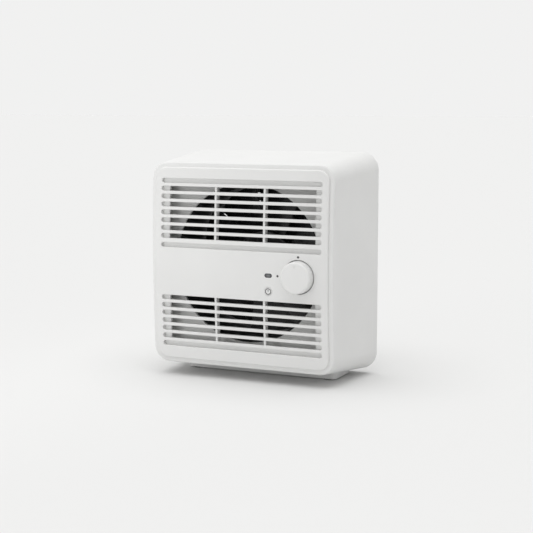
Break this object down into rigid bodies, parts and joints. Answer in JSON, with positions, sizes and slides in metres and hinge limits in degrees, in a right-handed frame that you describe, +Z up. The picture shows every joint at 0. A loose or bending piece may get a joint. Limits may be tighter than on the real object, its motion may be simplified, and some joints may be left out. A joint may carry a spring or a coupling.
{
  "type": "box fan",
  "caption": "Compact white box fan: rounded casing, crowned front panel with horizontal slots, side dial, lamp and power button on a plain band, axial fan inside, low plinth.",
  "frame": {"origin": "on the floor, under the middle of the overall width and depth", "axes": "+Z up, the slotted front faces -Y, +X to the viewer's right when facing the front"},
  "size_m": [0.2404, 0.122, 0.2512],
  "materials": {
    "white_shell": "fine satin moulding",
    "white_panel": "fine satin moulding",
    "white_cover": "fine satin moulding",
    "white_inner": "plain moulding",
    "white_plinth": "fine satin moulding",
    "white_knob": "satin",
    "white_button": "satin",
    "black_frame": "satin",
    "black_impeller": "semi gloss",
    "pad_rubber": "matte",
    "spindle_steel": "turned",
    "switch_body": "matte",
    "smoked_lens": "gloss",
    "led_clear": "gloss",
    "circuit_board": "satin",
    "yoke_steel": "drawn",
    "ferrite": "matte",
    "tube_brass": "turned",
    "bearing_steel": "ground",
    "lamination_steel": "stacked laminations",
    "copper_winding": "enamelled wire",
    "inlet_black": "satin",
    "lead_sleeve": "satin",
    "screw_steel": "plated"
  },
  "bodies": {
    "housing": {"casing": "white_shell", "front_panel": "white_panel", "rear_cover": "white_cover", "shroud_plate": "white_inner", "fan_frame": "black_frame", "plinth": "white_plinth", "foot_pads": "pad_rubber", "rotary_switch": "switch_body", "indicator_lens": "smoked_lens", "indicator_led": "led_clear", "tact_switch": "switch_body", "control_board": "circuit_board", "bearing_tube": "tube_brass", "front_bearing": "bearing_steel", "rear_bearing": "bearing_steel", "stator_core": "lamination_steel", "stator_coils": "copper_winding", "motor_board": "circuit_board", "dc_inlet": "inlet_black", "inlet_nut": "bearing_steel", "inlet_lead": "lead_sleeve", "motor_lead": "lead_sleeve", "cover_screws": "screw_steel", "shroud_screws": "screw_steel", "frame_screws": "screw_steel", "board_screws": "screw_steel", "plinth_screws": "screw_steel"},
    "rotor": {"impeller": "black_impeller", "rotor_yoke": "yoke_steel", "rotor_magnet": "ferrite", "shaft": "spindle_steel", "shaft_clip": "spindle_steel"},
    "dial": {"dial_knob": "white_knob", "dial_spindle": "spindle_steel"},
    "button": {"power_button": "white_button"}
  },
  "joints": [
    {"name": "impeller_spin", "type": "hinge", "parent": "housing", "child": "rotor", "pos_m": [0, 0.029, 0.13], "axis": [0, -1, 0], "continuous": true},
    {"name": "dial_turn", "type": "hinge", "parent": "housing", "child": "dial", "pos_m": [0.0705, -0.0518, 0.12097], "axis": [0, -1, 0], "range_deg": [0, 90]},
    {"name": "button_press", "type": "slide", "parent": "housing", "child": "button", "axis": [0, 1, 0], "range_m": [0, 0.0008], "stiffness_N_per_m": 1500, "springref_m": -0.0004}
  ]
}
